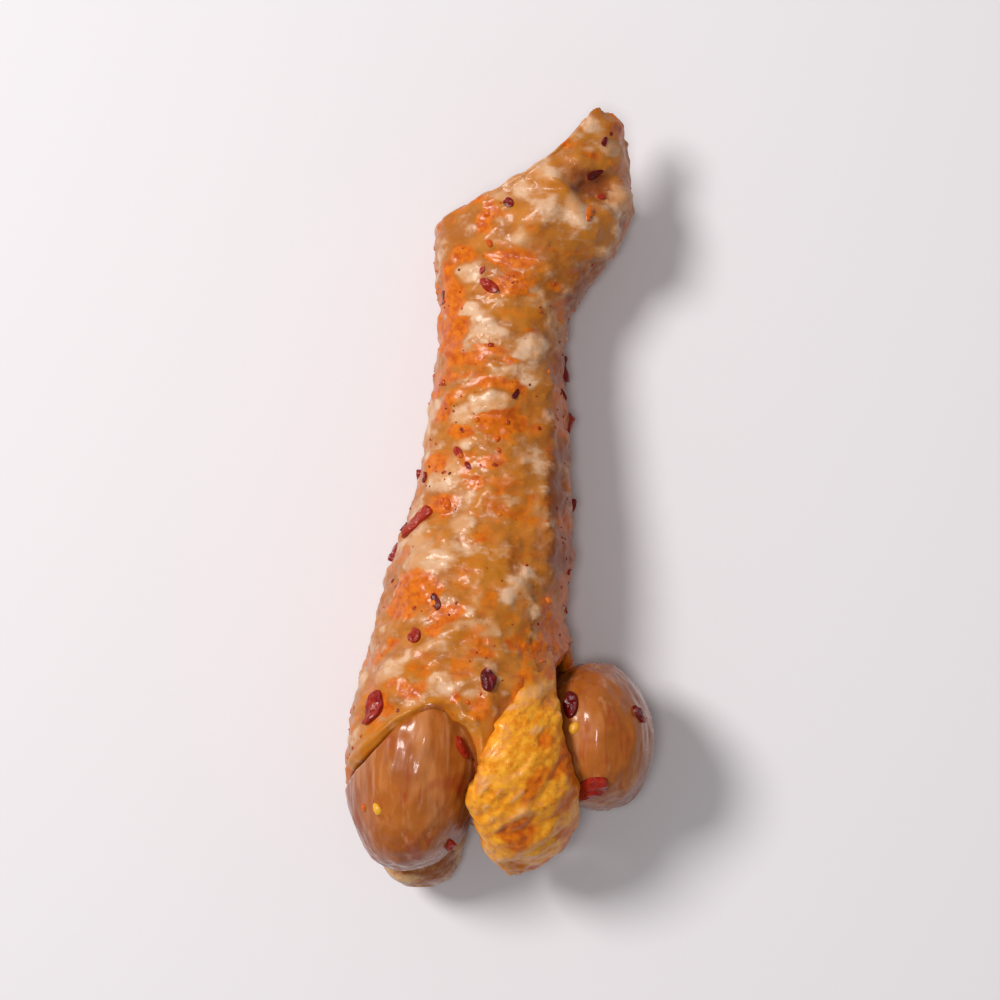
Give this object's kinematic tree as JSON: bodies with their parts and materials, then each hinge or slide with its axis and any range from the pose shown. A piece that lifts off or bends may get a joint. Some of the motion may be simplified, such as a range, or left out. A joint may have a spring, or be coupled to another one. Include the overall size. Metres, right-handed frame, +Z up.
{
  "type": "raw chicken drumette",
  "caption": "Raw marinated upper chicken wing joint with its skin, bare rounded muscles at the shoulder end, a tongue of skin and fat, and its bone.",
  "frame": {"origin": "middle of the bounding box in X and Y, on the surface that the joint lies on", "axes": "+Y along the joint from the cut shoulder end to the elbow, +X to the right as the picture shows it, +Z up"},
  "size_m": [0.0378, 0.095, 0.027],
  "materials": {
    "skin": "wet, marinated skin, pale beige with orange stains",
    "meat": "wet, glossy raw muscle under marinade",
    "bone": "wet cartilage and bone"
  },
  "bodies": {
    "root": {"skin": "skin", "meat": "meat", "bone": "bone"}
  },
  "joints": []
}
